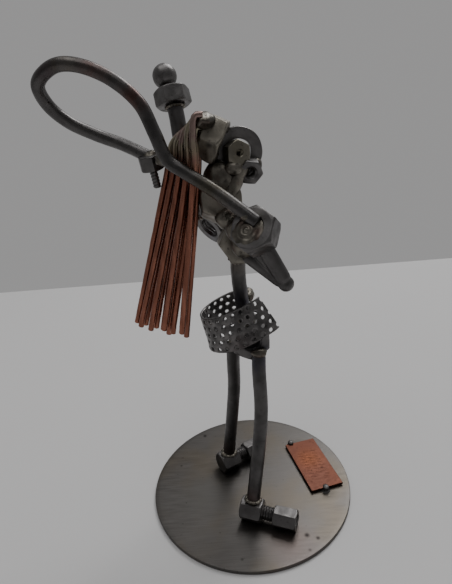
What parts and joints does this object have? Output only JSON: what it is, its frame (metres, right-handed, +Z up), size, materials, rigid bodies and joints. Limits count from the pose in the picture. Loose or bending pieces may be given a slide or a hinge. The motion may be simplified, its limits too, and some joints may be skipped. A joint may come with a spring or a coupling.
{
  "type": "figurine",
  "caption": "Welded steel tennis player figurine on a round steel base: hex nut body, bent rod limbs, round rod racket, copper wire hair, perforated sheet skirt and a small copper plate.",
  "frame": {"origin": "centre of the base's underside, where it rests on the table", "axes": "+X to the camera's right in the picture (the racket head is at -X), +Y away from the camera, +Z up"},
  "size_m": [0.0963, 0.08, 0.1636],
  "materials": {
    "base_steel": "brushed, faint heat tints, a few pits, bright rim",
    "nut_steel": "ground and brushed, grey with brown and greenish heat tints, small pits",
    "rod_steel": "drawn rod, satin, blue and brown tints near the welds",
    "weld_steel": "weld metal, lumpy, dull olive grey",
    "ball_steel": "satin",
    "perforated_steel": "perforated sheet, satin",
    "copper_sheet": "copper, brushed, orange with pinkish edges",
    "copper_wire": "copper wire, dulled grey by heat at the top and red brown below"
  },
  "bodies": {
    "root": {"base_disc": "base_steel", "copper_plate": "copper_sheet", "plate_pin_front": "copper_sheet", "plate_pin_back": "copper_sheet", "heel_nut_right": "nut_steel", "heel_nut_left": "nut_steel", "toe_nut_right": "nut_steel", "toe_nut_left": "nut_steel", "foot_stud_right": "rod_steel", "foot_stud_left": "rod_steel", "pelvis_nut": "nut_steel", "waist_rod": "rod_steel", "chest_nut": "nut_steel", "shoulder_nut_left": "nut_steel", "upper_back_nut": "nut_steel", "leg_right": "rod_steel", "leg_left": "rod_steel", "skirt": "perforated_steel", "skirt_weld": "weld_steel", "arm_right": "rod_steel", "hand_nut_right": "nut_steel", "arm_left": "rod_steel", "hand_nut_left": "nut_steel", "ball": "ball_steel", "neck": "rod_steel", "head_nut": "nut_steel", "face_nut": "nut_steel", "chin_nut": "nut_steel", "visor_ring": "nut_steel", "crown": "weld_steel", "racket": "rod_steel", "throat_nut": "nut_steel", "throat_bolt": "nut_steel", "hair_wire_01": "copper_wire", "hair_wire_02": "copper_wire", "hair_wire_03": "copper_wire", "hair_wire_04": "copper_wire", "hair_wire_05": "copper_wire", "hair_wire_06": "copper_wire", "hair_wire_07": "copper_wire", "hair_wire_08": "copper_wire", "hair_wire_09": "copper_wire", "hair_wire_10": "copper_wire", "hair_wire_11": "copper_wire", "hair_wire_12": "copper_wire"}
  },
  "joints": []
}
